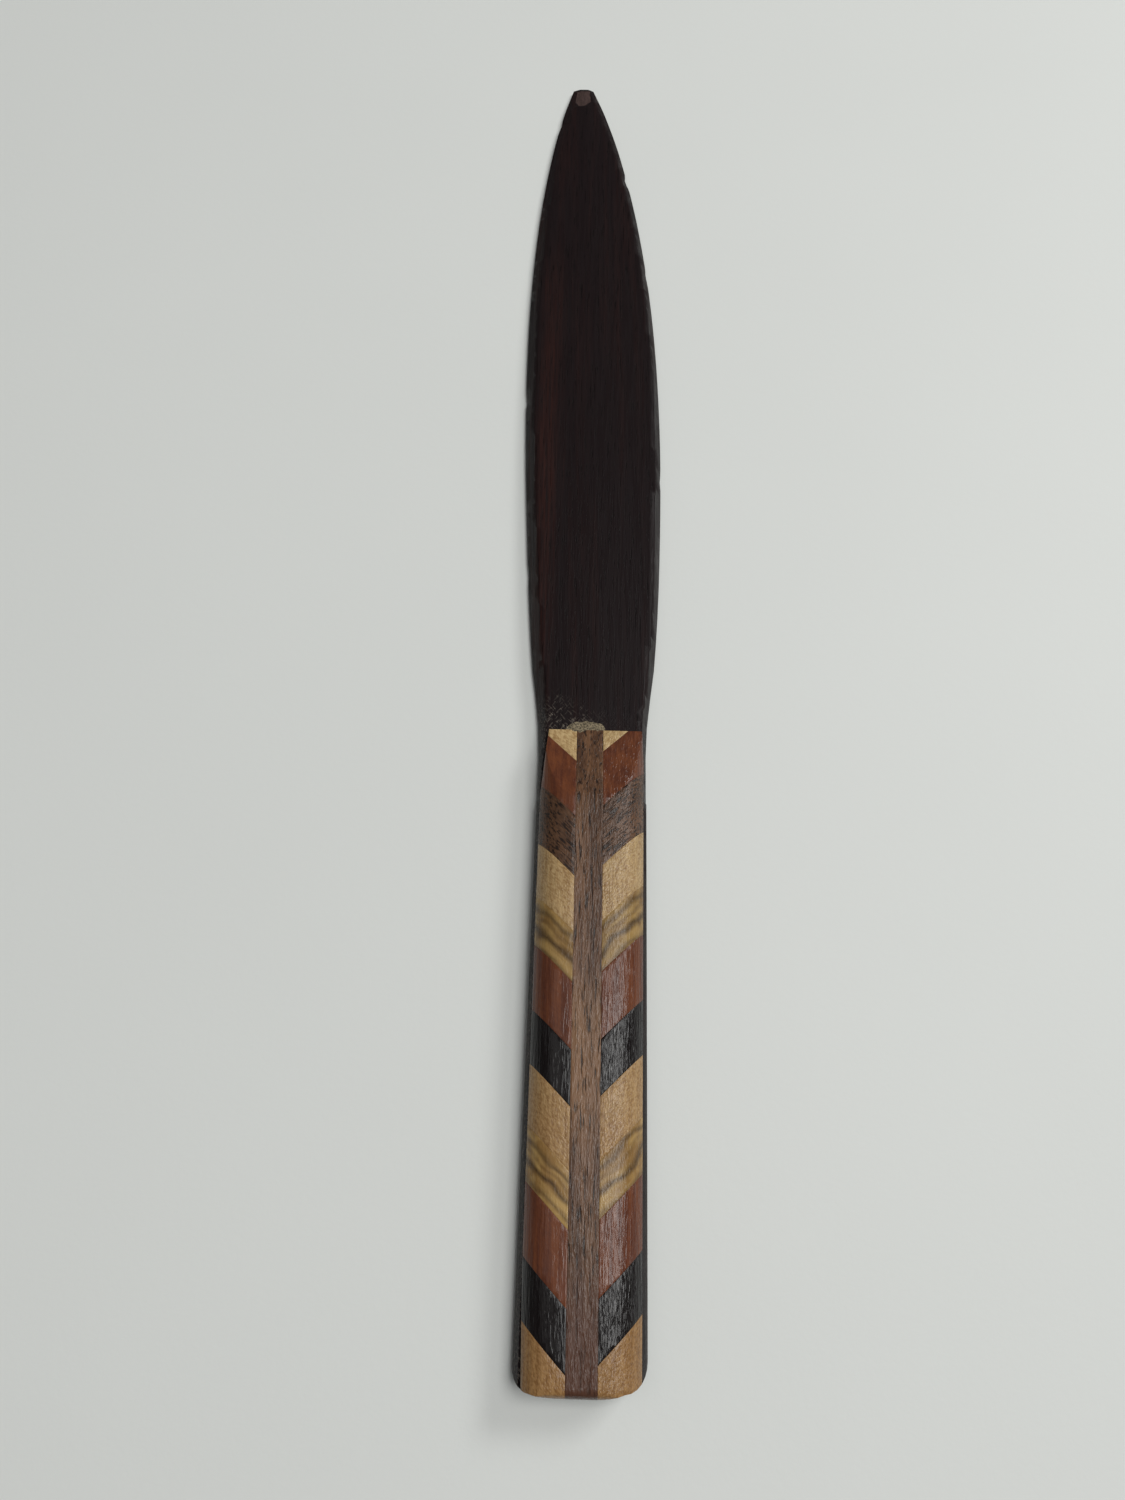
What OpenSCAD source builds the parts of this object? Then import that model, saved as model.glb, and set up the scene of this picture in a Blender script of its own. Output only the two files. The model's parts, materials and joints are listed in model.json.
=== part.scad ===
// Wooden letter opener: a dark hardwood blade with a full-length tang, and a
// marquetry slab of small offcuts glued along the top of the handle.
//
// Frame, in millimetres: X across, Y from the butt to the tip, Z up, with the
// inlaid face up. The origin lies on the flat underside, at the middle of the
// plan's box.

/* [Overall] */
// Length from the butt of the handle to the tip of the blade
length = 235; // [200:1:270]
// Length of the handle, from the butt to the toe of its ramp
handle_len = 91.5; // [84:0.5:100]

/* [Blade] */
// Width of the blade at its widest
blade_w = 23.8; // [20:0.2:28]
// Thickness of the blade at its tip
tip_t = 1.5; // [1.2:0.1:2.4]
// How far the tip stands to the left of the handle's centre line
tip_lean = 4.5; // [0:0.5:6]
// Height of the blunt face along the blade's edges
edge_t = 0.9; // [0.6:0.1:1.2]
// Width of the bevel along the left edge
bevel_left = 1.7; // [0.8:0.1:2.2]
// Width of the bevel along the right edge
bevel_right = 1.1; // [0.8:0.1:2.2]

/* [Handle] */
// Width of the handle at the butt
butt_w = 17.6; // [15:0.2:20]
// Width of the handle at the waist, where the blade leaves it
waist_w = 16.8; // [14:0.2:19]
// Thickness of the tang, up to the glue line under the marquetry
core_t = 4; // [3.5:0.1:4.5]
// Thickness of the whole handle at its crown
handle_t = 7; // [6.2:0.1:8]
// Length of the ramp that brings the marquetry down to the blade
ramp_len = 11.5; // [9:0.5:15]
// Radius of the butt's left corner
corner_left = 2.4; // [1:0.1:4]
// Radius of the butt's right corner
corner_right = 3.2; // [1:0.1:4]
// How far the butt falls back from its middle to the left corner
bow_left = 0.6; // [0:0.1:1.2]
// How far the butt falls back from its middle to the right corner
bow_right = 0.9; // [0:0.1:1.2]
// How far the butt's top edge is rounded back
butt_round = 1; // [0.4:0.1:1.5]

/* [Marquetry] */
// Width of the walnut strip down the middle
spine_w = 4.1; // [3:0.1:6]
// Length of a maple piece along the spine
maple_len = 8.2; // [7:0.1:9]
// Length of a redwood piece along the spine
red_len = 9.3; // [8:0.1:10]
// Length of an olive piece along the spine
olive_len = 7.2; // [6:0.1:8]
// Length of an ebony piece along the spine
ebony_len = 7.5; // [6:0.1:8]
// Length of a walnut piece along the spine
walnut_len = 9.2; // [8:0.1:10]
// Length of the maple end piece along the spine, at the butt
end_len = 2.9; // [2:0.1:4]
// How far forward the right column starts of the left one
stagger = 1.2; // [0:0.1:3]
// How many times longer the right column's pieces run than the left one's
right_run = 1.0075; // [0.99:0.0025:1.02]

/* [Hidden] */
// The pieces of one column in order from the butt: name, wood, length
PIECES = [
    ["maple_butt", "maple", end_len],
    ["ebony_lower", "ebony", ebony_len],
    ["red_lower", "red", red_len],
    ["olive_lower", "olive", olive_len],
    ["maple_lower", "maple", maple_len],
    ["ebony_upper", "ebony", ebony_len],
    ["red_middle", "red", red_len],
    ["olive_upper", "olive", olive_len],
    ["maple_upper", "maple", maple_len],
    ["walnut", "walnut", walnut_len],
    ["red_front", "red", red_len],
    ["maple_front", "maple", handle_len],
];
SIDES = ["left", "right"];

// Colour of each wood
WOODS = [
    ["maple", "#c9a974"], ["ebony", "#1d1c20"], ["red", "#70392a"],
    ["olive", "#94743c"], ["walnut", "#6b5142"], ["blade", "#2a1f20"],
];

// Where the ramp starts, and where the lofted blade takes over from the tang
heel_y = handle_len - ramp_len;
loft_y = heel_y - 2;
// Height that the ramp's toe keeps above the glue line
toe_t = 0.3;
// Height of the handle's upright sides, below the rounded crown
side_t = 1.6;
// Powers of the curve that rounds the crown: flat on top, steep at the sides
crown_power = 5;
shoulder_power = 0.9;
// Rounding of the lower edges
foot_r = 0.6;
// How far the spine's middle stands off the centre line, at butt and toe
spine_butt_x = 0.15;
spine_toe_x = -0.45;
// How far the ramp's toe is narrowed from the full footprint, left and right
toe_left = 1.1;
toe_right = 0.3;
// Half-width of the marquetry where it meets the glue line, and how far its
// left edge is worn in at the butt, over how long a stretch
slab_hw = 7.95;
worn_left = 0.5;
worn_len = 26;
// Power of the curve that sets the blade's middle over to the left
lean_power = 1.7;
// Power of the curve that thins the blade towards the tip
thinning_power = 1.3;
// Rise of the blade's middle over the ridges of its bevels
blade_crown = 0.25;
// Reach of a cutting prism, well past anything it cuts
reach = 40;

// Stations of the blade's outline from the waist to the tip: share of the
// blade's length, share of its greatest half-width. The first is the waist.
waist_y = 88;
blade_len = length - waist_y;
OUTLINE = [
    [0, waist_w / blade_w], [0.045, 0.735], [0.115, 0.84], [0.25, 0.94], [0.43, 1],
    [0.6, 0.955], [0.75, 0.8], [0.87, 0.575], [0.95, 0.355], [1, 0.17],
];
loft_steps = 48;

function wood_colour(wood) = [for (w = WOODS) if (w[0] == wood) w[1]][0];
function mix(a, b, t) = a + (b - a) * t;
function clamp01(t) = max(0, min(1, t));
function ease(t) = clamp01(t) * clamp01(t) * (3 - 2 * clamp01(t));

// Slope of a curve through the points p at point i
function slope(p, i) =
    let (a = max(0, i - 1), b = min(len(p) - 1, i + 1))
    (p[b][1] - p[a][1]) / (p[b][0] - p[a][0]);
// Stretch of the curve through the points p that u lies in
function stretch(p, u, i = 0) =
    i >= len(p) - 2 || u < p[i + 1][0] ? i : stretch(p, u, i + 1);
// Height at u of a smooth curve through the points p
function curve(p, u) =
    let (
        i = stretch(p, u),
        d = p[i + 1][0] - p[i][0],
        t = (u - p[i][0]) / d,
        rise = p[i + 1][1] - p[i][1]
    )
    p[i][1] + t * (rise + (1 - t) * (
        (1 - t) * (slope(p, i) * d - rise) - t * (slope(p, i + 1) * d - rise)
    ));

// The handle's half-width, straight from the butt to the waist
function handle_hw(y) = mix(butt_w, waist_w, clamp01(y / waist_y)) / 2;
// The blade's share of its length at y, half-width and centre line
function share(y) = clamp01((y - waist_y) / blade_len);
function half_w(y) = y < waist_y ? handle_hw(y) : curve(OUTLINE, share(y)) * blade_w / 2;
function centre_x(y) = -tip_lean * pow(share(y), lean_power);
// Thickness of the blade: full at the handle, thinning towards the tip
function blade_t(y) = mix(core_t, tip_t, pow(share(y), thinning_power));
// Middle of the spine
function spine_x(y) = mix(spine_butt_x, spine_toe_x, y / handle_len);

// How far the bevels have opened between the ramp's heel and the full blade
function opened(y) = ease((y - heel_y) / (1.6 * ramp_len));
function bevel(full, y) = mix(half_w(heel_y) - slab_hw, full, opened(y));
function edge_z(y) = min(mix(side_t, edge_t, opened(y)), 0.5 * blade_t(y));

// Outline of the blade's section at y, anticlockwise seen from the butt
function blade_section(y) =
    let (
        c = centre_x(y),
        w = half_w(y),
        t = blade_t(y),
        e = edge_z(y),
        k = blade_crown * opened(y),
        left = min(bevel(bevel_left, y), 0.7 * w),
        right = min(bevel(bevel_right, y), 0.7 * w)
    )
    [
        [c + w - foot_r, y, 0], [c + w, y, foot_r / 2], [c + w, y, e],
        [c + w - right, y, t - k], [c, y, t], [c - w + left, y, t - k],
        [c - w, y, e], [c - w, y, foot_r / 2], [c - w + foot_r, y, 0],
    ];

// The blade as a skin over its sections
module blade_loft() {
    rings = [for (i = [0:loft_steps])
        blade_section(mix(loft_y, length, sin(90 * i / loft_steps)))];
    n = len(rings[0]);
    polyhedron(
        points = [for (ring = rings) each ring],
        faces = concat(
            [[for (k = [n - 1:-1:0]) k]],
            [[for (k = [0:n - 1]) loft_steps * n + k]],
            [for (i = [0:loft_steps - 1], k = [0:n - 1])
                let (a = i * n + k, b = i * n + (k + 1) % n) [a, b + n, a + n]],
            [for (i = [0:loft_steps - 1], k = [0:n - 1])
                let (a = i * n + k, b = i * n + (k + 1) % n) [a, b, b + n]]
        ),
        convexity = 4
    );
}

// Half of the butt's outline, from the middle out to the side, with a corner
// of radius r after a bow of that depth
function butt_half(r, bow) =
    let (w = butt_w / 2, x = w - r)
    concat(
        [for (i = [0:5]) [x * i / 6, bow * pow(i / 6, 2)]],
        [for (a = [-90:15:0]) [x + r * cos(a), bow + r * (1 + sin(a))]]
    );
function mirrored(points) = [for (i = [len(points) - 1:-1:1]) [-points[i][0], points[i][1]]];

// Plan of the handle from the butt as far as y
module tang_plan(y) {
    polygon(concat(
        butt_half(corner_right, bow_right),
        [[handle_hw(y), y], [-handle_hw(y), y]],
        mirrored(butt_half(corner_left, bow_left))
    ));
}

// Plan of the marquetry slab, narrowed on the ramp and at the butt's left
module slab_plan() {
    wide = slab_hw + 0.3;
    intersection() {
        polygon([
            [wide, -1], [wide, heel_y], [slab_hw - toe_right, handle_len],
            [toe_left - slab_hw, handle_len], [-slab_hw, heel_y], [-wide, worn_len],
            [worn_left - slab_hw, -1],
        ]);
        tang_plan(handle_len);
    }
}

// Height of the crown at x from the centre line
function crown_z(x) =
    side_t + (handle_t - side_t)
        * pow(max(0, 1 - pow(abs(x) / (butt_w / 2), crown_power)), shoulder_power);

// End view of the handle: flat foot, upright sides, crowned top
module handle_section() {
    w = butt_w / 2;
    polygon(concat(
        [[foot_r - w, 0], [w - foot_r, 0], [w, foot_r / 2]],
        [for (a = [90:-5:-90]) [w * sin(a), crown_z(w * sin(a))]],
        [[-w, foot_r / 2]]
    ));
}

// A prism of the end view along the handle
module along_handle() {
    translate([0, handle_len + 1, 0]) rotate([90, 0, 0])
        linear_extrude(height = handle_len + 2) handle_section();
}

// A prism of a side view, whose points are [y, z], right across the handle
module across_handle(points) {
    translate([-reach / 2, 0, 0]) rotate([90, 0, 90])
        linear_extrude(height = reach) polygon(points);
}

// Side view of the butt's top edge, rounded from the top to the glue line
butt_edge = [for (a = [0:15:90])
    [butt_round * (1 - sin(a)), core_t + (handle_t - core_t) * cos(a)]];

// The whole marquetry, before it is divided: plan, side view and end view
module slab() {
    intersection() {
        linear_extrude(height = reach) slab_plan();
        along_handle();
        across_handle(concat(
            [[handle_len, core_t], [handle_len, core_t + toe_t], [heel_y, handle_t]],
            butt_edge
        ));
    }
}

// The tang: what is left of the handle below the glue line
module tang() {
    intersection() {
        linear_extrude(height = reach) tang_plan(heel_y);
        along_handle();
        across_handle([
            [foot_r / 2, 0], [heel_y, 0], [heel_y, core_t], [0, core_t], [0, foot_r],
        ]);
    }
}

// How far along the spine the piece with this number starts, on a side
function start_y(side, i) =
    let (s = [for (k = 0, s = 0; k <= i; s = s + PIECES[k][2], k = k + 1) s][i])
    i == 0 ? -reach : side == "left" ? s : stagger + right_run * s;

// Point where a saw cut that meets the spine at y lies, out from the spine
function cut_point(side, y, out) =
    let (d = side == "left" ? -1 : 1)
    [spine_x(y) + d * (spine_w / 2 + out), y + out];

// Plan of one piece: bounded by the spine and two saw cuts at 45 degrees
module piece_plan(side, i) {
    a = start_y(side, i);
    b = i == len(PIECES) - 1 ? handle_len + reach : start_y(side, i + 1);
    polygon([
        cut_point(side, a, 0), cut_point(side, b, 0),
        cut_point(side, b, reach / 2), cut_point(side, a, reach / 2),
    ]);
}

module marquetry_piece(side, i) {
    color(wood_colour(PIECES[i][1])) intersection() {
        slab();
        linear_extrude(height = reach) piece_plan(side, i);
    }
}

module spine_strip() {
    color(wood_colour("walnut")) intersection() {
        slab();
        linear_extrude(height = reach) polygon([
            [spine_x(-1) - spine_w / 2, -1], [spine_x(-1) + spine_w / 2, -1],
            [spine_x(handle_len + 1) + spine_w / 2, handle_len + 1],
            [spine_x(handle_len + 1) - spine_w / 2, handle_len + 1],
        ]);
    }
}

module blade_tang() {
    color(wood_colour("blade")) union() {
        tang();
        blade_loft();
    }
}

// The middle of the plan's box, which the origin stands under
right_x = max([for (y = [0:1:length]) centre_x(y) + half_w(y)]);
left_x = min([for (y = [0:1:length]) centre_x(y) - half_w(y)]);

module placed() {
    translate([-(left_x + right_x) / 2, -length / 2, 0]) children();
}

placed() blade_tang();
placed() spine_strip();
for (side = SIDES, i = [0:len(PIECES) - 1])
    placed() marquetry_piece(side, i);
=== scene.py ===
"""A wooden letter opener: a dark leaf-shaped blade and a handle faced with a
chevron marquetry of small woods, laid on a pale table."""

import json
import math

import bpy
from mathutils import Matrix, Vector

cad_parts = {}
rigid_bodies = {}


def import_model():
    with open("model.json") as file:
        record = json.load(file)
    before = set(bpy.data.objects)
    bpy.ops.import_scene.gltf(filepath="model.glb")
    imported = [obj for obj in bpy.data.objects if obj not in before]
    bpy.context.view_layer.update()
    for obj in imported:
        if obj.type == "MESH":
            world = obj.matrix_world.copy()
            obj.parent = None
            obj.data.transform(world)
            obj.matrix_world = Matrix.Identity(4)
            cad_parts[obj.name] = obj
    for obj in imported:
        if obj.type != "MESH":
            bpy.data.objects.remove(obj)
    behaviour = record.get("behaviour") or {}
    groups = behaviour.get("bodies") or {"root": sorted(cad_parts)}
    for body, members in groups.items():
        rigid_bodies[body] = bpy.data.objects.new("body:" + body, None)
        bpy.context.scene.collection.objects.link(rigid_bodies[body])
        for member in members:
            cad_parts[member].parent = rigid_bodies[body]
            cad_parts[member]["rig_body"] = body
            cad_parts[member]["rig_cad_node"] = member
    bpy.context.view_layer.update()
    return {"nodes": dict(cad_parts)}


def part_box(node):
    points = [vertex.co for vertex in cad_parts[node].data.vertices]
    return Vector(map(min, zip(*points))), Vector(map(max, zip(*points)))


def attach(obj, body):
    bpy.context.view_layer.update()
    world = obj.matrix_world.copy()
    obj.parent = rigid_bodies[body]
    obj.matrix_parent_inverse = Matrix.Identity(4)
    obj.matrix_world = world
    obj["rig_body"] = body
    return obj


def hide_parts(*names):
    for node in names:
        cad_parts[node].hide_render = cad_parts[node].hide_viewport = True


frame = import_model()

bl_info = {
    "name": "Marquetry Letter Opener",
    "version": (1, 0, 0),
    "blender": (4, 5, 0),
    "location": "View3D > Sidebar > Letter Opener",
    "description": "Builds a letter opener with a marquetry handle round its packed frame",
    "category": "Add Mesh",
}

MM = 0.001
BLADE_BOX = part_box("blade_tang")
SPINE_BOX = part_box("spine_strip")
# Places are counted from the butt's end and from the middle of the handle's width
BUTT_Y = BLADE_BOX[0].y
HANDLE_X = (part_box("left_red_lower")[0].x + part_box("right_red_lower")[1].x) / 2
# The tip, the front end of the spine strip, and the face that the strip is glued to
TIP_Y = BLADE_BOX[1].y
TOE_Y = SPINE_BOX[1].y
GLUE_Z = SPINE_BOX[0].z

# Each piece of a column from the ramp back, with its wood and how light it is left and right
COLUMN = (
    ("maple_front", "maple", 1.15, 1.15),
    ("red_front", "redwood", 1.0, 1.0),
    ("walnut", "walnut", 0.9, 1.0),
    ("maple_upper", "maple", 1.05, 1.1),
    ("olive_upper", "olive_wood", 1.0, 1.0),
    ("red_middle", "redwood", 1.0, 1.0),
    ("ebony_upper", "ebony", 1.0, 1.0),
    ("maple_lower", "maple", 1.0, 1.05),
    ("olive_lower", "olive_wood", 1.25, 1.2),
    ("red_lower", "redwood", 1.1, 1.1),
    ("ebony_lower", "ebony", 1.0, 1.0),
    ("maple_butt", "maple", 0.95, 0.95),
)

# How each column's grain leans, how much of its relief each part has kept, and its gloss
SLANT = {"left": math.radians(45), "right": math.radians(-45)}
WORN = {"left": 0.35, "spine": 0.7, "right": 0.8}
POLISH = {"left": 0.26, "spine": 0.27, "right": 0.34}
BLADE_GLOSS = 0.1
# Each wood's depth of relief in millimetres, and its middle roughness
SURFACE = {
    "maple": (0.12, 0.22),
    "redwood": (0.075, 0.23),
    "walnut": (0.065, 0.29),
    "olive_wood": (0.065, 0.28),
    "ebony": (0.08, 0.22),
    "spine": (0.08, 0.28),
}
# How far roughness swings either way of the middle over the sanding marks
ROUGH_SWING = 0.06
# How deep open pores go, as a share of the sanding marks
PORE_DEPTH = 0.6
# How far apart in the wood two strips of a column are cut, in millimetres
CUT_APART = 13.0
# Soft dark bands across the olive wood: from, to and softness in millimetres, and strength
OLIVE_BANDS = (
    (0.6, 1.1, 0.4, 1.0),
    (1.7, 1.9, 0.35, 0.7),
    (2.6, 3.3, 0.4, 1.1),
    (4.5, 5.2, 0.45, 0.75),
)
# How far the bands wander either way, in millimetres
OLIVE_SWAY = 1.6
# The blade's red band in millimetres, across from the middle and along from the butt
RED_ACROSS = (-8.6, -5.6)
RED_ALONG = (100, 185)
# The colours of the blade's pores and of the pale colour in the rasp's cuts, which is dust left in them and
# also a painted glint of the cuts
BLADE_PORE = (0.002, 0.0015, 0.0015)
RASP_DUST_AND_GLINT = (0.14, 0.12, 0.1)
# Both sets of rasp cuts: which way they run in radians, and a shift that sets them apart
RASP_CUTS = ((0.72, 2), (-0.7, 7))

# Nicks in the blade's edges in millimetres: where along it, on which side (-1 left), how deep,
# and how far round the nick the wood gives way
NICKS = (
    (210, 1, 0.4, 2.2),
    (157, -1, 0.25, 1.6),
    (186, 1, 0.15, 2.0),
    (225, -1, 0.2, 2.0),
    (121, -1, 0.12, 2.5),
    (140, 1, 0.12, 2.2),
)
# How far along from a nick, and how far up from the table, the edge is looked for
NICK_NEAR = 1.2 * MM

# How high the tip stands once it has chipped
CHIP_TIP_Z = 1.2 * MM
# The chipped facet's outline in millimetres: places from the tip's middle and the facet's
# foot, and the way out of it
CHIP_OUTLINE = (
    (-0.3, 0, 0, -1),
    (-1.2, 0.6, -0.8, -0.5),
    (0.7, 0.4, 0.75, -0.65),
    (-1.5, 2, -1, 0.1),
    (1.45, 2.2, 1, 0.05),
    (0, 4.5, 0, 1),
)
# The width of the facet's lip, and how far the facet lies below it
CHIP_LIP = 0.1 * MM
CHIP_DROP = 0.07 * MM
# How near the end counts as the tip, and how far behind its foot the facet's cuts reach
TIP_NEAR = 0.3 * MM
CHIP_REACH = 2 * MM
# How near the facet's foot the blade's full height is read
CROWN_NEAR = 1 * MM

# Corners nearer than this are one: in the CAD's loose triangles, in the blade, along a cut
MERGE = 0.001 * MM
BLADE_MERGE = 0.002 * MM
CUT_MERGE = 0.0001 * MM
# Faces that turn by less than this are one flat face, and edges that turn by more are sharp
FLAT = math.radians(0.3)
SHARP = math.radians(40)
# How far apart the cuts lie that let a face be worked: along and across the blade, and a strip
BLADE_CUTS_Y = 1.5 * MM
BLADE_CUTS_X = 1 * MM
STRIP_CUTS = 1 * MM
# How near a piece's end a cut is left out, as a share of the step
CUT_MARGIN = 0.01
# The size of the waves, and the height in millimetres at which they set in
WAVE_SIZE = 5 * MM
WAVES_FROM = 0.5

# The glue smear: how far left of the middle, its lift off the face, half its height, and the
# size and height of its crumbs
GLUE_LEFT = 1.2 * MM
GLUE_LIFT = 0.05 * MM
GLUE_HALF = 0.3 * MM
CRUMB_SIZE = 1.1 * MM
CRUMB_HEIGHT = 0.8 * MM

# The table's width in metres, and where the lens stands over it in millimetres
TABLE_WIDTH = 3
LENS_AT = (-2.84, 24.05)
# The lamps: name, place and size in metres, and the setting that holds the power
LAMPS = (
    ("softbox", (0.55, 0.02, 1.5), (0.8, 0.8), "softbox_power"),
    ("side_light", (-0.62, 0.02, 1.4), (0.6, 0.8), "side_power"),
    ("far_light", (0.75, 0.5, 0.7), (0.4, 0.3), "far_power"),
)
LAMP_COLOUR = (1, 1, 0.985)
ROOM_COLOUR = (1, 0.985, 0.99, 1)


def at(x, y):
    """A point on the table, in millimetres from the handle's middle and from the butt."""
    return Vector((HANDLE_X + x * MM, BUTT_Y + y * MM, 0))


# ---------------------------------------------------------------- properties


def colour_property(name, description, default):
    """A colour that a user may change."""
    return bpy.props.FloatVectorProperty(
        name=name, description=description, subtype="COLOR", size=3, min=0, max=1, default=default
    )


def length_property(name, description, millimetres, low=0.0, high=50.0):
    """A length that a user may change."""
    return bpy.props.FloatProperty(
        name=name, description=description, default=millimetres * MM, min=low * MM, max=high * MM,
        subtype="DISTANCE", unit="LENGTH",
    )


class LetterOpenerSizes(bpy.types.PropertyGroup):
    """Sizes of what is worked into the pieces."""

    arris: length_property("Arris", "Width of the softened edge round a marquetry piece", 0.03)
    ridge: length_property("Ridge", "Width of the softened edges of the blade and its tang", 0.22)
    ripple: length_property("Ripple", "Depth of the waves that hand sanding leaves", 0.05)
    chip: length_property("Chip", "Length of the chipped facet at the tip", 5)
    smear_w: length_property("Glue smear width", "Width of the dried glue before the ramp", 6.4)
    smear_l: length_property("Glue smear length", "Length of the dried glue before the ramp", 3.2)


class LetterOpenerWoods(bpy.types.PropertyGroup):
    """Colours of the woods, each as its darker and its lighter figure."""

    blade_dark: colour_property("Blade dark", "Dark figure of the blade", (0.0105, 0.0066, 0.0072))
    blade_light: colour_property("Blade light", "Red-brown streaks of the blade", (0.034, 0.012, 0.0095))
    maple_light: colour_property("Maple", "Pale wood where it is fresh", (0.46, 0.335, 0.172))
    maple_gold: colour_property("Maple gold", "Pale wood where handling has aged it", (0.36, 0.205, 0.083))
    red_dark: colour_property("Redwood dark", "Darker figure of the red wood", (0.075, 0.024, 0.014))
    red_light: colour_property("Redwood light", "Lighter figure of the red wood", (0.155, 0.05, 0.021))
    red_orange: colour_property("Redwood orange", "Orange tint of the red wood", (0.175, 0.068, 0.022))
    walnut_dark: colour_property("Walnut dark", "Dark figure of the walnut", (0.038, 0.019, 0.012))
    walnut_light: colour_property("Walnut light", "Lighter figure of the walnut", (0.15, 0.076, 0.04))
    walnut_pore: colour_property("Walnut pores", "Open pores of the walnut", (0.014, 0.008, 0.006))
    walnut_tawny: colour_property("Walnut tawny", "Paler tawny length of the spine", (0.2, 0.105, 0.052))
    walnut_red: colour_property("Walnut red", "Redder brown of the spine at the butt", (0.085, 0.037, 0.023))
    olive_dark: colour_property("Olive dark", "Dark stripes of the olive wood", (0.055, 0.03, 0.012))
    olive_brown: colour_property("Olive brown", "Brown ground of the olive wood", (0.20, 0.112, 0.036))
    olive_light: colour_property("Olive light", "Golden ground of the olive wood", (0.33, 0.21, 0.075))
    ebony_dark: colour_property("Ebony dark", "Ground of the ebony", (0.004, 0.0024, 0.0024))
    ebony_light: colour_property("Ebony light", "Lighter fibres of the ebony", (0.012, 0.0095, 0.0095))
    chip: colour_property("Chip", "Torn wood at the tip", (0.058, 0.034, 0.03))
    glue: colour_property("Glue", "Dried glue with sanding dust in it", (0.25, 0.2, 0.125))


class LetterOpenerStage(bpy.types.PropertyGroup):
    """The table, the light and the camera."""

    table: colour_property("Table", "Colour of the table", (0.72, 0.74, 0.72))
    softbox_power: bpy.props.FloatProperty(
        name="Softbox", description="Power of the large light overhead", default=15, min=0,
        unit="POWER",
    )
    side_power: bpy.props.FloatProperty(
        name="Side light", description="Power of the weaker light on the left", default=1.2, min=0,
        unit="POWER",
    )
    far_power: bpy.props.FloatProperty(
        name="Far light", description="Power of the lower light beyond the tip", default=4.5, min=0,
        unit="POWER",
    )
    fill: bpy.props.FloatProperty(
        name="Fill", description="Strength of the even light all round", default=0.1, min=0,
    )
    height: length_property("Camera height", "Height of the lens over the table", 166.8, 50, 2000)
    tilt: bpy.props.FloatProperty(
        name="Camera tilt", description="How far the lens leans from straight down",
        default=math.radians(21.5), subtype="ANGLE", unit="ROTATION",
    )
    turn: bpy.props.FloatProperty(
        name="Camera turn", description="How far the view is turned about the upright",
        default=math.radians(1.635), subtype="ANGLE", unit="ROTATION",
    )
    lens: bpy.props.FloatProperty(
        name="Lens", description="Focal length in millimetres", default=27.05, min=10, max=200,
    )


# ----------------------------------------------------------------- materials


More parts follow.
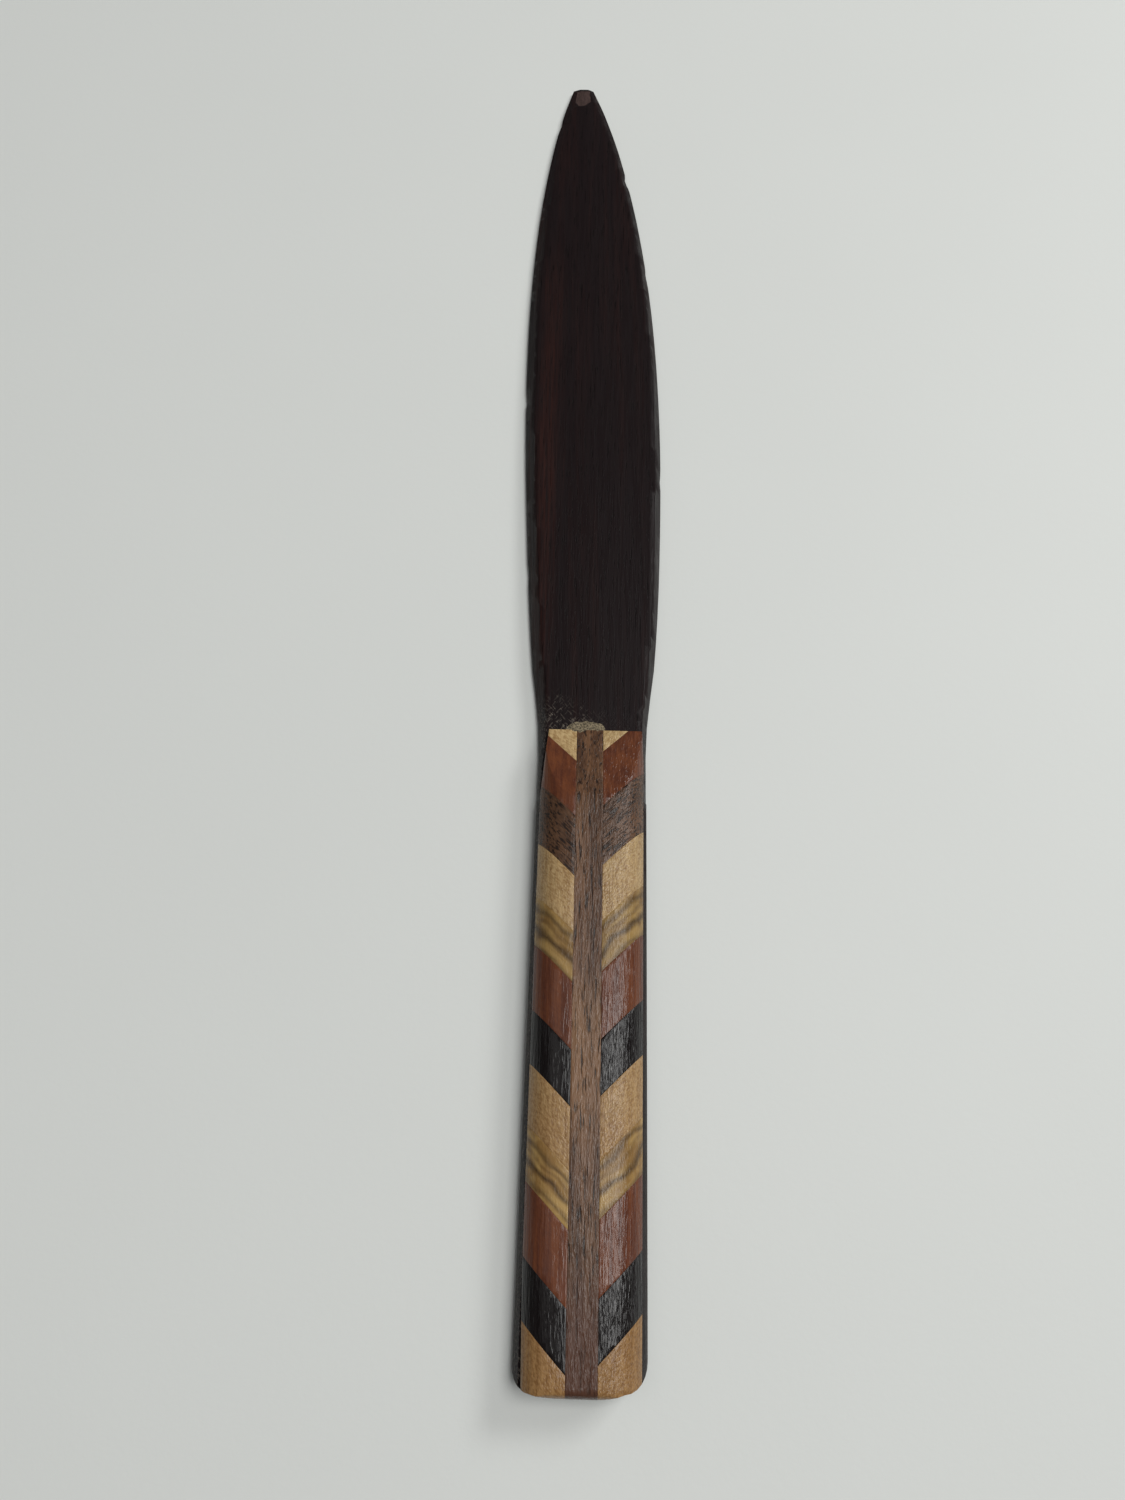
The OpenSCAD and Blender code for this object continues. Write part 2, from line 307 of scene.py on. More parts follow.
class Recipe:
    """A material in the making. Its textures read the object's place in millimetres."""

    def __init__(self, name):
        self.material = bpy.data.materials.new(name)
        self.material.use_nodes = True
        self.tree = self.material.node_tree
        self.shader = self.tree.nodes["Principled BSDF"]
        place = self.tree.nodes.new("ShaderNodeTexCoord").outputs["Object"]
        start = tuple(-v / MM for v in at(0, 0))
        self.place = self.mapped(place, scale=(1 / MM,) * 3, location=start)

    def join(self, socket, value):
        """Links an output into socket, or sets it to a plain value."""
        if isinstance(value, bpy.types.NodeSocket):
            self.tree.links.new(value, socket)
        elif socket.type == "RGBA":
            socket.default_value = (*value, 1)
        else:
            socket.default_value = value

    def mapped(self, vector, scale=(1, 1, 1), turn=0.0, location=(0, 0, 0)):
        """vector scaled, then turned about the upright, then moved."""
        node = self.tree.nodes.new("ShaderNodeMapping")
        self.join(node.inputs["Vector"], vector)
        node.inputs["Scale"].default_value = scale
        node.inputs["Rotation"].default_value = (0, 0, turn)
        node.inputs["Location"].default_value = location
        return node.outputs["Vector"]

    def grain(self, turn, across, along, shift=0.0):
        """Coordinates along a grain turned from the handle's length, in cycles a millimetre."""
        turned = self.mapped(self.place, turn=-turn, location=(shift, shift * 2.3, shift * 0.7))
        return self.mapped(turned, scale=(across, along, across))

    def noise(self, vector, detail, rough, bend=0.0):
        """Cloudy noise from about 0 to 1."""
        node = self.tree.nodes.new("ShaderNodeTexNoise")
        self.join(node.inputs["Vector"], vector)
        node.inputs["Scale"].default_value = 1
        node.inputs["Detail"].default_value = detail
        node.inputs["Roughness"].default_value = rough
        node.inputs["Distortion"].default_value = bend
        return node.outputs["Fac"]

    def ramp(self, value, low, high, smooth=True):
        """0 where value is below low, 1 where it is above high."""
        node = self.tree.nodes.new("ShaderNodeMapRange")
        node.interpolation_type = "SMOOTHSTEP" if smooth else "LINEAR"
        self.join(node.inputs["Value"], value)
        node.inputs["From Min"].default_value = low
        node.inputs["From Max"].default_value = high
        return node.outputs["Result"]

    def scaled(self, value, low, high):
        """value taken from the range 0 to 1 into the range low to high."""
        node = self.tree.nodes.new("ShaderNodeMapRange")
        self.join(node.inputs["Value"], value)
        node.inputs["To Min"].default_value = low
        node.inputs["To Max"].default_value = high
        return node.outputs["Result"]

    def math(self, operation, a, b=0.0):
        """Two numbers put together."""
        node = self.tree.nodes.new("ShaderNodeMath")
        node.operation = operation
        self.join(node.inputs[0], a)
        self.join(node.inputs[1], b)
        return node.outputs[0]

    def mixed(self, *terms):
        """The sum of values, each times its weight."""
        total = None
        for value, weight in terms:
            term = self.math("MULTIPLY", value, weight)
            total = term if total is None else self.math("ADD", total, term)
        return total

    def across(self, side):
        """How far up a point lies across the strips of that side, in millimetres."""
        sign = 1 if side == "left" else -1
        slope = math.sqrt(0.5)
        return self.mixed((self.axis("X"), sign * slope), (self.axis("Y"), slope))

    def axis(self, name):
        """One coordinate in millimetres: X from the middle of the handle, Y from the butt."""
        node = self.tree.nodes.new("ShaderNodeSeparateXYZ")
        self.join(node.inputs[0], self.place)
        return node.outputs[name]

    def between(self, value, low, high, soft):
        """1 where value lies between low and high, with soft edges."""
        up = self.ramp(value, low - soft, low + soft)
        down = self.ramp(value, high + soft, high - soft)
        return self.math("MULTIPLY", up, down)

    def blend(self, amount, a, b, kind="MIX"):
        """Colour a turned into colour b, or worked on by it, by that amount."""
        node = self.tree.nodes.new("ShaderNodeMix")
        node.data_type = "RGBA"
        node.blend_type = kind
        self.join(node.inputs["Factor"], amount)
        self.join(node.inputs[6], a)
        self.join(node.inputs[7], b)
        return node.outputs[2]

    def bumped(self, height, depth):
        """The normal over a relief of that depth in millimetres."""
        node = self.tree.nodes.new("ShaderNodeBump")
        node.inputs["Strength"].default_value = 1
        node.inputs["Distance"].default_value = depth * MM
        self.join(node.inputs["Height"], height)
        return node.outputs["Normal"]

    def finish(self, colour, roughness, normal, gloss=0.35):
        """The finished material."""
        self.join(self.shader.inputs["Base Color"], colour)
        self.join(self.shader.inputs["Roughness"], roughness)
        self.join(self.shader.inputs["Normal"], normal)
        self.shader.inputs["Specular IOR Level"].default_value = gloss
        return self.material


def tinted(colour, tone):
    """A colour made lighter or darker."""
    return tuple(min(1.0, tone * c) for c in colour)


def sanding(recipe, shift, length, width):
    """Height of sanding marks along the handle, 0 to 1, of that length and width in millimetres."""
    coarse = recipe.noise(recipe.grain(0.01, 1 / width, 1 / length, shift), 2, 0.5)
    fine = recipe.noise(recipe.grain(-0.02, 2.6 / width, 2.5 / length, shift + 4), 1, 0.5)
    return recipe.mixed((recipe.ramp(coarse, 0.4, 0.6), 0.75), (recipe.ramp(fine, 0.35, 0.65), 0.25))


def oiled(recipe, colour, marks, wood, side, pits=None):
    """The finished wood: its marks as relief, and open pores where pits are given."""
    relief, roughness = SURFACE[wood]
    height = marks if pits is None else recipe.mixed((marks, 1), (pits, -PORE_DEPTH))
    rough = recipe.scaled(marks, roughness + ROUGH_SWING, roughness - ROUGH_SWING)
    return recipe.finish(colour, rough, recipe.bumped(height, relief * WORN[side]), POLISH[side])


def maple(name, woods, side, tone, shift):
    """Pale close-grained wood with a fine fleck, more golden the more it has been handled."""
    recipe = Recipe(name)
    turn = SLANT[side]
    fleck = recipe.noise(recipe.grain(turn, 4.2, 1.3, shift), 2, 0.6)
    brushed = recipe.noise(recipe.grain(0, 2.4, 0.16, shift + 6), 3, 0.6)
    drift = recipe.noise(recipe.grain(turn, 0.4, 0.12, shift + 3), 2, 0.5)
    handled = recipe.mixed((recipe.axis("Y"), 1), (drift, 30))
    age = recipe.ramp(handled, 108, 24, smooth=False)
    colour = recipe.blend(age, tinted(woods.maple_light, tone), tinted(woods.maple_gold, tone))
    figure = recipe.mixed(
        (recipe.ramp(fleck, 0.62, 0.34), 0.55), (recipe.ramp(brushed, 0.62, 0.36), 0.35)
    )
    colour = recipe.blend(figure, colour, (0.5, 0.4, 0.3), "MULTIPLY")
    marks = recipe.mixed((sanding(recipe, shift, 1.0, 0.3), 0.6), (fleck, 0.4))
    return oiled(recipe, colour, marks, "maple", side)


def redwood(name, woods, side, tone, shift):
    """Red-brown wood, deep red by the spine and more orange towards the edge."""
    recipe = Recipe(name)
    turn = SLANT[side]
    fibre = recipe.noise(recipe.grain(turn, 4, 0.4, shift), 3, 0.6)
    brushed = recipe.noise(recipe.grain(0, 1.6, 0.07, shift + 3), 3, 0.6)
    spread = recipe.math("ABSOLUTE", recipe.axis("X"))
    outward = recipe.mixed((recipe.scaled(spread, -0.55, -0.37), 1), (brushed, 0.9))
    value = recipe.mixed((recipe.ramp(fibre, 0.3, 0.7), 0.3), (recipe.ramp(brushed, 0.3, 0.7), 0.7))
    colour = recipe.blend(value, tinted(woods.red_dark, tone), tinted(woods.red_light, tone))
    orange = recipe.scaled(recipe.ramp(outward, 0, 1), 0, 0.6)
    colour = recipe.blend(orange, colour, tinted(woods.red_orange, tone))
    marks = recipe.mixed((sanding(recipe, shift, 4, 0.42), 0.85), (fibre, 0.15))
    return oiled(recipe, colour, marks, "redwood", side)


def walnut(name, woods, side, tone, shift):
    """Grey-brown wood with open dark pores drawn out along the grain."""
    recipe = Recipe(name)
    turn = SLANT[side]
    fibre = recipe.noise(recipe.grain(turn, 4.5, 0.5, shift), 3, 0.65)
    drift = recipe.noise(recipe.grain(turn, 0.45, 0.1, shift + 3), 2, 0.5)
    pores = recipe.ramp(recipe.noise(recipe.grain(turn, 3.8, 0.45, shift + 6), 2, 0.55), 0.5, 0.6)
    value = recipe.mixed((recipe.ramp(fibre, 0.25, 0.75), 0.6), (recipe.ramp(drift, 0.3, 0.7), 0.4))
    colour = recipe.blend(value, tinted(woods.walnut_dark, tone), tinted(woods.walnut_light, tone))
    colour = recipe.blend(recipe.scaled(pores, 0, 0.9), colour, tinted(woods.walnut_pore, tone))
    marks = recipe.mixed((sanding(recipe, shift, 1.4, 0.34), 0.7), (fibre, 0.3))
    return oiled(recipe, colour, marks, "walnut", side, pores)


def olive(name, woods, side, tone, shift, top):
    """Golden wood crossed by soft dark bands; top is where the strip begins across its grain."""
    recipe = Recipe(name)
    turn = SLANT[side]
    across = recipe.math("SUBTRACT", top, recipe.across(side))
    sway = recipe.noise(recipe.grain(turn, 0.16, 0.16, shift), 2, 0.45)
    across = recipe.mixed((across, 1), (sway, 2 * OLIVE_SWAY), (1, -OLIVE_SWAY))
    bands = recipe.mixed(*(
        (recipe.between(across, low, high, soft), strength)
        for low, high, soft, strength in OLIVE_BANDS
    ))
    fleck = recipe.noise(recipe.grain(turn, 5, 0.9, shift + 5), 2, 0.6)
    drift = recipe.noise(recipe.grain(turn, 0.8, 0.1, shift + 9), 2, 0.5)
    ground = recipe.ramp(drift, 0.35, 0.65)
    colour = recipe.blend(ground, tinted(woods.olive_brown, tone), tinted(woods.olive_light, tone))
    depth = recipe.math("MULTIPLY", bands, recipe.scaled(fleck, 0.45, 1.15))
    colour = recipe.blend(depth, colour, tinted(woods.olive_dark, tone))
    marks = recipe.mixed((sanding(recipe, shift, 1.6, 0.34), 0.7), (fleck, 0.3))
    return oiled(recipe, colour, marks, "olive_wood", side)


def ebony(name, woods, side, tone, shift):
    """Near-black wood, in which little but the brushed sheen shows."""
    recipe = Recipe(name)
    fibre = recipe.noise(recipe.grain(SLANT[side], 4, 0.4, shift), 3, 0.6)
    brushed = recipe.noise(recipe.grain(0, 2.2, 0.12, shift + 3), 3, 0.6)
    value = recipe.mixed((fibre, 0.4), (recipe.ramp(brushed, 0.35, 0.7), 0.6))
    colour = recipe.blend(value, tinted(woods.ebony_dark, tone), tinted(woods.ebony_light, tone))
    marks = sanding(recipe, shift, 3.2, 0.4)
    return oiled(recipe, colour, marks, "ebony", side)


def spine_walnut(name, woods):
    """The middle strip: long pores, grey-brown in front and warmer and redder at the butt."""
    recipe = Recipe(name)
    y = recipe.axis("Y")
    fibre = recipe.noise(recipe.grain(0.015, 4.2, 0.2), 3, 0.65)
    drift = recipe.noise(recipe.grain(0.02, 0.7, 0.035, 3), 2, 0.5)
    pores = recipe.ramp(recipe.noise(recipe.grain(0.01, 3.4, 0.24, 6), 2, 0.55), 0.53, 0.66)
    value = recipe.mixed((recipe.ramp(fibre, 0.25, 0.75), 0.55), (recipe.ramp(drift, 0.3, 0.7), 0.45))
    colour = recipe.blend(value, tinted(woods.walnut_dark, 1.1), tinted(woods.walnut_light, 1.1))
    tawny = recipe.mixed((recipe.between(y, 32, 50, 5), 0.75), (recipe.ramp(drift, 0.5, 0.7), 0.3))
    colour = recipe.blend(tawny, colour, tuple(woods.walnut_tawny))
    butt = recipe.ramp(recipe.mixed((y, 1), (drift, 8)), 24, 10)
    colour = recipe.blend(recipe.scaled(butt, 0, 0.85), colour, tuple(woods.walnut_red))
    dark = recipe.mixed((pores, 0.9), (recipe.math("MULTIPLY", pores, butt), -0.5))
    colour = recipe.blend(dark, colour, tuple(woods.walnut_pore))
    marks = recipe.mixed((sanding(recipe, 2, 2.2, 0.36), 0.75), (fibre, 0.25))
    return oiled(recipe, colour, marks, "spine", "spine", pores)


def rasp_cuts(recipe):
    """Two sets of short rasp cuts that cross, 0 to 1."""
    cuts = []
    for turn, shift in RASP_CUTS:
        teeth = recipe.noise(recipe.grain(turn, 4.2, 0.8, shift), 1, 0.5)
        cuts.append((recipe.ramp(teeth, 0.54, 0.64), 0.5))
    return recipe.mixed(*cuts)


def blade_figure(recipe, x, y, streaks, woods):
    """Near-black, with red-brown streaks that gather in a band on the left."""
    fibres = recipe.noise(recipe.grain(0.015, 3.6, 0.05, 5), 3, 0.65)
    band = recipe.between(recipe.mixed((x, 1), (streaks, 4)), *RED_ACROSS, 1.5)
    band = recipe.math("MULTIPLY", band, recipe.between(y, *RED_ALONG, 14))
    red = recipe.mixed((recipe.ramp(streaks, 0.42, 0.75), 0.4), (band, 0.8))
    red = recipe.math("MULTIPLY", red, recipe.ramp(fibres, 0.2, 0.75))
    return recipe.blend(red, tuple(woods.blade_dark), tuple(woods.blade_light))


def blade_wood(woods):
    """The blade's near-black wood: red-brown streaks, open pores, and rasp marks by the handle whose cuts
    are painted pale, as dust and as a painted glint.
    """
    recipe = Recipe("blade_wood")
    x = recipe.axis("X")
    y = recipe.axis("Y")
    streaks = recipe.noise(recipe.grain(0.02, 0.5, 0.012), 3, 0.6, 0.3)
    colour = blade_figure(recipe, x, y, streaks, woods)
    pores = recipe.ramp(recipe.noise(recipe.grain(0.01, 5.0, 0.22, 9), 2, 0.6), 0.56, 0.66)
    colour = recipe.blend(recipe.math("MULTIPLY", pores, 0.6), colour, BLADE_PORE)
    marks = sanding(recipe, 0, 9, 0.5)
    cuts = rasp_cuts(recipe)
    patch = recipe.ramp(recipe.mixed((y, 1), (x, 0.3), (streaks, 7)), 100.5, 95)
    # Pale colour painted into the rasp's cuts, strongest on the left: dust, and a painted glint of the cuts
    # as well
    thick = recipe.math("MULTIPLY", patch, recipe.scaled(recipe.ramp(x, 3, -4), 0.12, 1))
    dust = recipe.math("MULTIPLY", recipe.ramp(cuts, 0.3, 0.75), thick)
    colour = recipe.blend(recipe.scaled(dust, 0, 0.8), colour, RASP_DUST_AND_GLINT)
    height = recipe.mixed((marks, 0.35), (pores, -0.3), (recipe.math("MULTIPLY", cuts, patch), 1.2))
    rough = recipe.scaled(marks, 0.48, 0.36)
    return recipe.finish(colour, rough, recipe.bumped(height, 0.05), BLADE_GLOSS)


def chip_wood(woods):
    """Bare torn fibres where the tip has chipped."""
    recipe = Recipe("chip_wood")
    fibres = recipe.noise(recipe.grain(0.2, 4, 0.8), 3, 0.7)
    torn = recipe.ramp(fibres, 0.3, 0.7)
    colour = recipe.blend(torn, tinted(woods.chip, 0.6), tinted(woods.chip, 1.1))
    return recipe.finish(colour, 0.75, recipe.bumped(fibres, 0.12), gloss=0.25)


def glue_material(woods):
    """Dried glue with sanding dust and grit in it."""
    recipe = Recipe("dried_glue")
    grit = recipe.noise(recipe.grain(0.5, 5.2, 3.6), 3, 0.75)
    dust = recipe.ramp(grit, 0.38, 0.62)
    colour = recipe.blend(dust, tinted(woods.glue, 0.18), tinted(woods.glue, 1.25))
    return recipe.finish(colour, 0.6, recipe.bumped(grit, 0.2))


def table_material(stage):
    """A plain pale table top with the faintest mottling."""
    recipe = Recipe("table_top")
    cloud = recipe.noise(recipe.grain(0, 0.02, 0.02), 2, 0.5)
    base = tuple(stage.table)
    colour = recipe.blend(cloud, tuple(0.97 * c for c in base), base)
    grain = recipe.noise(recipe.grain(0, 0.8, 0.8), 3, 0.6)
    return recipe.finish(colour, 0.55, recipe.bumped(grain, 0.02), gloss=0.3)


PLAIN_WOODS = {"maple": maple, "redwood": redwood, "walnut": walnut, "ebony": ebony}


def wood_for(slot, side, tone, number, top, woods):
    """The material of one strip; top is where it begins across its grain."""
    name = f"{slot}_{side}_{number}"
    shift = CUT_APART * number
    if slot == "olive_wood":
        return olive(name, woods, side, tone, shift, top)
    return PLAIN_WOODS[slot](name, woods, side, tone, shift)


# ---------------------------------------------------------------- modelling


def only(piece):
    """Makes piece the one selected and active object."""
    bpy.ops.object.select_all(action="DESELECT")
    piece.select_set(True)
    bpy.context.view_layer.objects.active = piece


def working_copy(node, name):
    """A copy of a CAD node, with its loose triangles merged and its flat faces made whole."""
    only(frame["nodes"][node])
    bpy.ops.object.duplicate()
    piece = bpy.context.object
    piece.name = name
    piece.data.name = name
    piece.parent = None
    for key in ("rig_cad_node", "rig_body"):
        del piece[key]
    piece.data.materials.clear()
    bpy.ops.object.mode_set(mode="EDIT")
    bpy.ops.mesh.select_all(action="SELECT")
    bpy.ops.mesh.remove_doubles(threshold=MERGE)
    bpy.ops.mesh.dissolve_limited(angle_limit=FLAT)
    bpy.ops.object.mode_set(mode="OBJECT")
    return piece


def cut_across(piece, axis, step):
    """Cuts the faces of piece at even steps along an axis, so that they can be worked."""
    places = [v.co[axis] for v in piece.data.vertices]
    normal = Vector((0, 0, 0))
    normal[axis] = 1
    first = math.ceil(min(places) / step + CUT_MARGIN)
    last = math.floor(max(places) / step - CUT_MARGIN)
    only(piece)
    bpy.ops.object.mode_set(mode="EDIT")
    for i in range(first, last + 1):
        bpy.ops.mesh.select_all(action="SELECT")
        bpy.ops.mesh.bisect(plane_co=normal * (i * step), plane_no=normal, threshold=CUT_MERGE)
    bpy.ops.object.mode_set(mode="OBJECT")


def strip_top(node, side):
    """Where a slanted strip begins at its upper edge, counted across the strips in millimetres."""
    sign = 1 if side == "left" else -1
    zero = at(0, 0)
    corners = (v.co - zero for v in frame["nodes"][node].data.vertices)
    return max((sign * c.x + c.y) / MM for c in corners) * math.sqrt(0.5)


def applied(piece, kind, **settings):
    """Adds a modifier to piece and applies it."""
    only(piece)
    modifier = piece.modifiers.new(kind.lower(), kind)
    for name, value in settings.items():
        setattr(modifier, name, value)
    bpy.ops.object.modifier_apply(modifier=modifier.name)


def hand_sanded(piece, depth):
    """Works soft waves of that depth into piece, fading out towards the table."""
    group = piece.vertex_groups.new(name="worked")
    for vertex in piece.data.vertices:
        share = min(1.0, max(0.0, vertex.co.z / MM - WAVES_FROM))
        group.add([vertex.index], share, "REPLACE")
    name = "sanding_waves"
    waves = bpy.data.textures.get(name) or bpy.data.textures.new(name, "CLOUDS")
    waves.noise_scale = WAVE_SIZE
    applied(
        piece, "DISPLACE", texture=waves, texture_coords="LOCAL", direction="Z",
        strength=depth, mid_level=0.5, vertex_group="worked",
    )
    piece.vertex_groups.clear()


def chip_sides(piece, foot):
    """The sides of the chipped facet, each as a place on it and the way out of the facet."""
    tip = [v.co for v in piece.data.vertices if v.co.y > TIP_Y - TIP_NEAR]
    middle = sum(place.x for place in tip) / len(tip)
    return [
        (Vector((middle + x * MM, foot + y * MM, 0)), Vector((across, along, 0)).normalized())
        for x, y, across, along in CHIP_OUTLINE
    ]


def sloped(piece, foot, length):
    """Lowers the top of the tip to a slope that falls away from the chip's foot."""
    near = [v.co.z for v in piece.data.vertices if abs(v.co.y - foot) < CROWN_NEAR]
    crown = max(near)
    for vertex in piece.data.vertices:
        along = (vertex.co.y - foot) / length
        if along > 0:
            vertex.co.z = min(vertex.co.z, crown + (CHIP_TIP_Z - crown) * along)


def chipped(piece, length):
    """Sinks the torn facet at the tip, a rounded patch in the material of the second slot."""
    foot = TIP_Y - length
    outline = chip_sides(piece, foot)
    only(piece)
    for place, outward in outline:
        for face in piece.data.polygons:
            face.select = face.center.y > foot - CHIP_REACH
        bpy.ops.object.mode_set(mode="EDIT")
        bpy.ops.mesh.bisect(plane_co=place, plane_no=outward, threshold=CUT_MERGE)
        bpy.ops.object.mode_set(mode="OBJECT")
    for face in piece.data.polygons:
        inside = all((face.center - place).dot(outward) < 0 for place, outward in outline)
        face.select = inside and face.normal.z > 0.8
        if face.select:
            face.material_index = 1
    bpy.ops.object.mode_set(mode="EDIT")
    bpy.ops.mesh.inset(thickness=CHIP_LIP, use_even_offset=False)
    bpy.ops.transform.translate(value=(0, 0, -CHIP_DROP))
    bpy.ops.object.mode_set(mode="OBJECT")
    sloped(piece, foot, length)


def cleaned(piece):
    """Merges the corners of piece that lie on top of each other."""
    only(piece)
    bpy.ops.object.mode_set(mode="EDIT")
    bpy.ops.mesh.select_all(action="SELECT")
    bpy.ops.mesh.remove_doubles(threshold=BLADE_MERGE)
    bpy.ops.mesh.dissolve_degenerate(threshold=MERGE)
    bpy.ops.object.mode_set(mode="OBJECT")


def nicked(piece, y, side, push, reach):
    """Pushes the blade's edge in at y millimetres from the butt, as a knock does."""
    line = BUTT_Y + y * MM
    low = [v.co for v in piece.data.vertices if v.co.z < NICK_NEAR]
    near = [place for place in low if abs(place.y - line) < NICK_NEAR]
    edge = max(near, key=lambda place: side * place.x)
    dented(piece, Vector((edge.x, line, edge.z)), reach * MM, -side * push * MM)


def dented(piece, place, reach, push):
    """Pushes the wood about a place sideways, as a nick in an edge does."""
    group = piece.vertex_groups.new(name="dent")
    for vertex in piece.data.vertices:
        near = 1 - (vertex.co - place).length / reach
        if near > 0:
            group.add([vertex.index], near * near * (3 - 2 * near), "REPLACE")
    applied(piece, "DISPLACE", direction="X", strength=push, mid_level=0, vertex_group="dent")
    piece.vertex_groups.clear()


def softened(piece, width, segments):
    """Rounds the sharp edges of piece."""
    applied(
        piece, "BEVEL", width=width, segments=segments, limit_method="ANGLE", angle_limit=SHARP
    )


def smoothed(piece, degrees=35):
    """Shades piece smooth, but for its sharp edges."""
    only(piece)
    bpy.ops.object.shade_smooth_by_angle(angle=math.radians(degrees))


def worked_strip(node, name, sizes):
    """A working copy of a strip, with its edges softened and its face sanded by hand."""
    piece = working_copy(node, name)
    softened(piece, sizes.arris, 2)
    cut_across(piece, 1, STRIP_CUTS)
    cut_across(piece, 0, STRIP_CUTS)
    hand_sanded(piece, sizes.ripple)
    smoothed(piece)
    return piece


def finish_piece(piece, node, material=None):
    """Gives a piece its material, where it has none yet, and hands it over to the frame."""
    if material is not None:
        piece.data.materials.append(material)
    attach(piece, "root")
    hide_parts(node)


# ----------------------------------------------------------------- operators


class LETTER_OPENER_OT_blade(bpy.types.Operator):
    """Carve the blade and its tang from the dark blank"""

    bl_idname = "letter_opener.blade"
    bl_label = "Blade and tang"

    def execute(self, context):
        sizes = context.scene.letter_opener_sizes
        woods = context.scene.letter_opener_woods
        piece = working_copy("blade_tang", "blade")
        piece.data.materials.append(blade_wood(woods))
        piece.data.materials.append(chip_wood(woods))
        softened(piece, sizes.ridge, 3)
        cleaned(piece)
        cut_across(piece, 1, BLADE_CUTS_Y)
        cut_across(piece, 0, BLADE_CUTS_X)
        chipped(piece, sizes.chip)
        hand_sanded(piece, sizes.ripple)
        for nick in NICKS:
            nicked(piece, *nick)
        cleaned(piece)
        smoothed(piece, 40)
        finish_piece(piece, "blade_tang")
        return {"FINISHED"}


class LETTER_OPENER_OT_spine(bpy.types.Operator):
    """Fit the walnut strip down the middle of the handle"""

    bl_idname = "letter_opener.spine"
    bl_label = "Spine strip"

    def execute(self, context):
        piece = worked_strip("spine_strip", "spine", context.scene.letter_opener_sizes)
        wood = spine_walnut("spine_walnut", context.scene.letter_opener_woods)
        finish_piece(piece, "spine_strip", wood)
        return {"FINISHED"}


class LETTER_OPENER_OT_marquetry(bpy.types.Operator):
    """Lay the two columns of slanted woods"""

    bl_idname = "letter_opener.marquetry"
    bl_label = "Marquetry columns"

    def execute(self, context):
        sizes = context.scene.letter_opener_sizes
        woods = context.scene.letter_opener_woods
        for side in ("left", "right"):
            for number, (name, slot, *tones) in enumerate(COLUMN):
                node = f"{side}_{name}"
                piece = worked_strip(node, f"{node}_piece", sizes)
                tone = tones[0] if side == "left" else tones[1]
                material = wood_for(slot, side, tone, number, strip_top(node, side), woods)
                finish_piece(piece, node, material)
        return {"FINISHED"}


class LETTER_OPENER_OT_glue(bpy.types.Operator):
    """Leave a smear of dried glue where the marquetry meets the blade"""

    bl_idname = "letter_opener.glue"
    bl_label = "Glue smear"

    def execute(self, context):
        sizes = context.scene.letter_opener_sizes
        bpy.ops.object.select_all(action="DESELECT")
        middle = Vector((HANDLE_X - GLUE_LEFT, TOE_Y, GLUE_Z + GLUE_LIFT))
        half = (sizes.smear_w / 2, sizes.smear_l / 2, GLUE_HALF)
        bpy.ops.mesh.primitive_uv_sphere_add(
            segments=64, ring_count=24, radius=1, location=(0, 0, 0)
        )
        piece = context.object
        piece.name = "glue_smear"
        bpy.ops.object.mode_set(mode="EDIT")
        bpy.ops.mesh.select_all(action="SELECT")
        bpy.ops.transform.resize(value=half, center_override=(0, 0, 0))
        bpy.ops.transform.translate(value=middle)
        bpy.ops.object.mode_set(mode="OBJECT")
        crumbs = bpy.data.textures.new("crumbs", "CLOUDS")
        crumbs.noise_scale = CRUMB_SIZE
        applied(
            piece, "DISPLACE", texture=crumbs, texture_coords="LOCAL", direction="NORMAL",
            strength=CRUMB_HEIGHT, mid_level=0.55,
        )
        smoothed(piece, 60)
        piece.data.materials.append(glue_material(context.scene.letter_opener_woods))
        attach(piece, "root")
        return {"FINISHED"}


def add_softbox(name, place, size, power):
    """A large soft light that faces the letter opener."""
    light = bpy.data.objects.new(name, bpy.data.lights.new(name, "AREA"))
    bpy.context.scene.collection.objects.link(light)
    light.data.shape = "RECTANGLE"
    light.data.size, light.data.size_y = size
    light.data.energy = power
    light.data.color = LAMP_COLOUR
    light.location = place
    light.rotation_euler = (-light.location).to_track_quat("-Z", "Y").to_euler()


def add_table(stage):
    """The table top that the letter opener lies on."""
    bpy.ops.object.select_all(action="DESELECT")
    bpy.ops.mesh.primitive_plane_add(size=TABLE_WIDTH, location=(0, 0, 0))
    table = bpy.context.object
    table.name = "table_top"
    table.data.materials.append(table_material(stage))


def add_camera(scene, stage):
    """The camera, over the handle and looking towards the tip."""
    eye = at(*LENS_AT)
    eye.z = stage.height
    camera = bpy.data.objects.new("camera", bpy.data.cameras.new("camera"))
    scene.collection.objects.link(camera)
    camera.location = eye
    camera.rotation_euler = (stage.tilt, 0, stage.turn)
    camera.data.lens = stage.lens
    camera.data.sensor_width = 36
    camera.data.clip_start = 0.01
    scene.camera = camera


def add_room_light(scene, strength):
    """Weak even light all round."""
    world = bpy.data.worlds.new("even_light")
    world.use_nodes = True
    background = world.node_tree.nodes["Background"]
    background.inputs["Color"].default_value = ROOM_COLOUR
    background.inputs["Strength"].default_value = strength
    scene.world = world


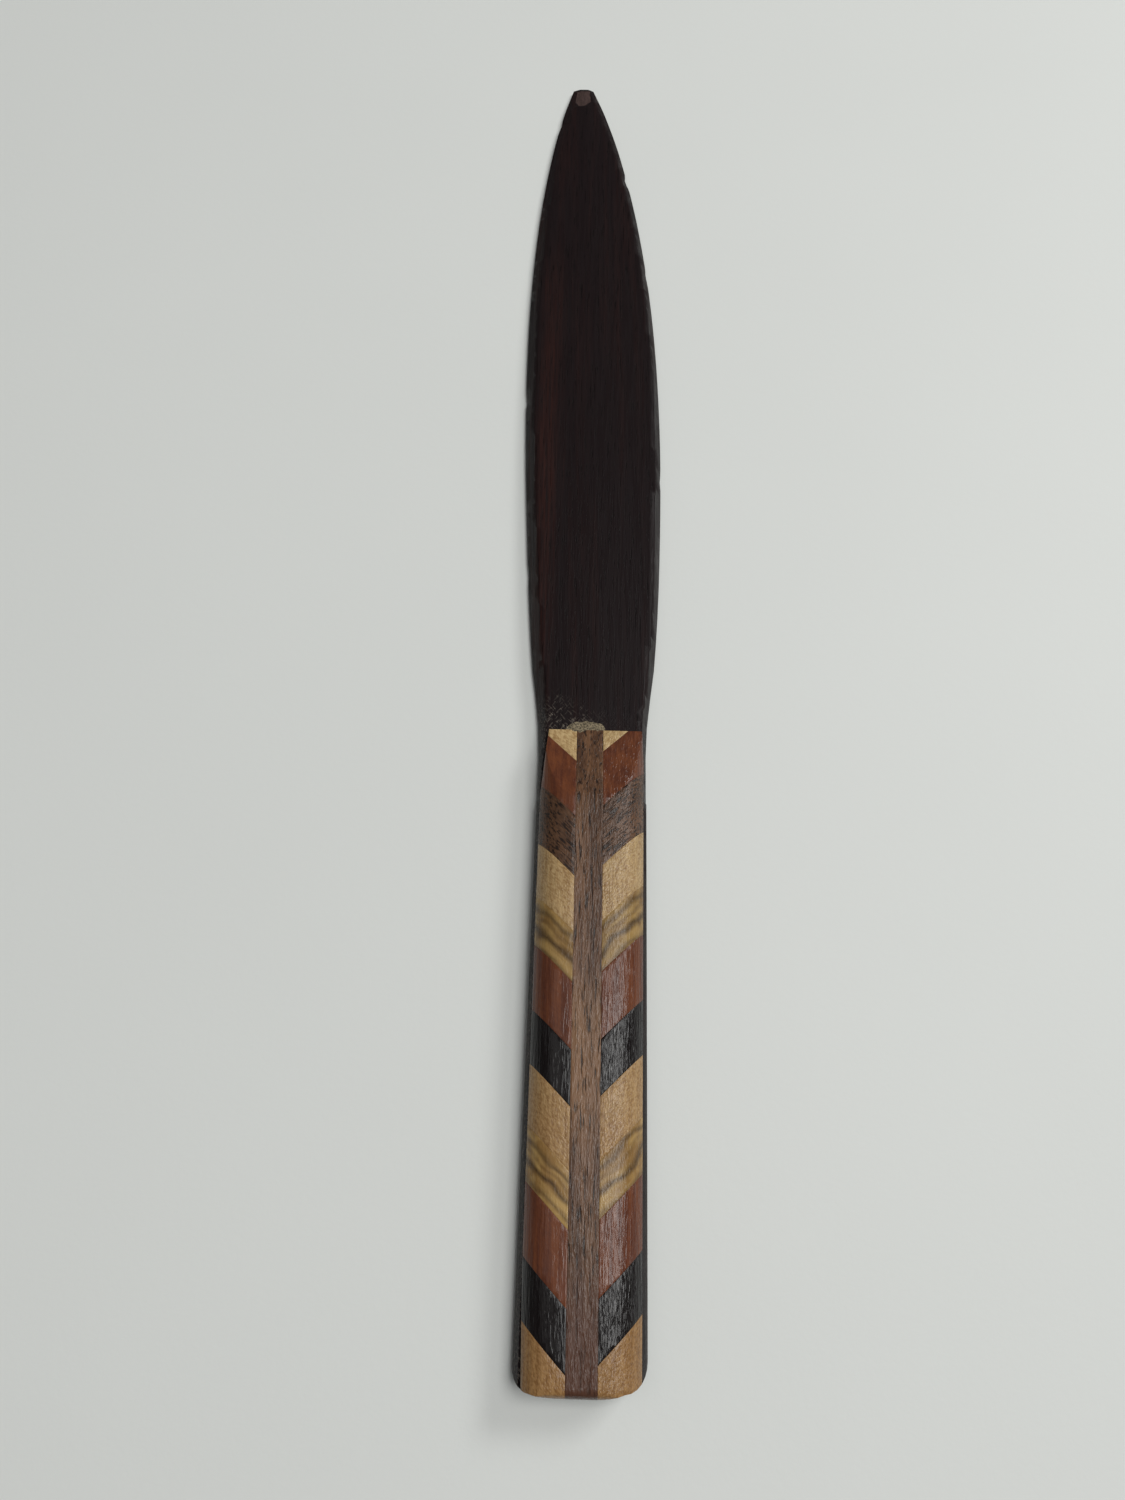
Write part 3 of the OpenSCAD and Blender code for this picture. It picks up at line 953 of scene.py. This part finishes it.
class LETTER_OPENER_OT_stage(bpy.types.Operator):
    """Set out the table, the lights and the camera"""

    bl_idname = "letter_opener.stage"
    bl_label = "Stage"

    def execute(self, context):
        scene = context.scene
        stage = scene.letter_opener_stage
        add_table(stage)
        add_camera(scene, stage)
        for name, place, size, power in LAMPS:
            add_softbox(name, place, size, getattr(stage, power))
        add_room_light(scene, stage.fill)
        scene.view_settings.view_transform = "Standard"
        return {"FINISHED"}


class LETTER_OPENER_PT_panel(bpy.types.Panel):
    """Lists the steps that build the letter opener"""

    bl_label = "Letter Opener"
    bl_idname = "LETTER_OPENER_PT_panel"
    bl_space_type = "VIEW_3D"
    bl_region_type = "UI"
    bl_category = "Letter Opener"

    def draw(self, context):
        for operator in STEPS:
            self.layout.operator(operator.bl_idname)
        for group in ("sizes", "woods", "stage"):
            settings = getattr(context.scene, f"letter_opener_{group}")
            box = self.layout.box()
            for name in settings.__annotations__:
                box.prop(settings, name)


STEPS = (
    LETTER_OPENER_OT_stage,
    LETTER_OPENER_OT_blade,
    LETTER_OPENER_OT_spine,
    LETTER_OPENER_OT_marquetry,
    LETTER_OPENER_OT_glue,
)
GROUPS = (LetterOpenerSizes, LetterOpenerWoods, LetterOpenerStage)


def register():
    """Adds the classes and the settings to Blender."""
    for part in (*GROUPS, *STEPS, LETTER_OPENER_PT_panel):
        bpy.utils.register_class(part)
    bpy.types.Scene.letter_opener_sizes = bpy.props.PointerProperty(type=LetterOpenerSizes)
    bpy.types.Scene.letter_opener_woods = bpy.props.PointerProperty(type=LetterOpenerWoods)
    bpy.types.Scene.letter_opener_stage = bpy.props.PointerProperty(type=LetterOpenerStage)


def unregister():
    """Takes them out again."""
    for name in ("letter_opener_stage", "letter_opener_woods", "letter_opener_sizes"):
        delattr(bpy.types.Scene, name)
    for part in reversed((*GROUPS, *STEPS, LETTER_OPENER_PT_panel)):
        bpy.utils.unregister_class(part)


def main():
    """Builds the whole letter opener and its stage."""
    register()
    bpy.ops.letter_opener.stage()
    bpy.ops.letter_opener.blade()
    bpy.ops.letter_opener.spine()
    bpy.ops.letter_opener.marquetry()
    bpy.ops.letter_opener.glue()


if __name__ == "__main__":
    main()
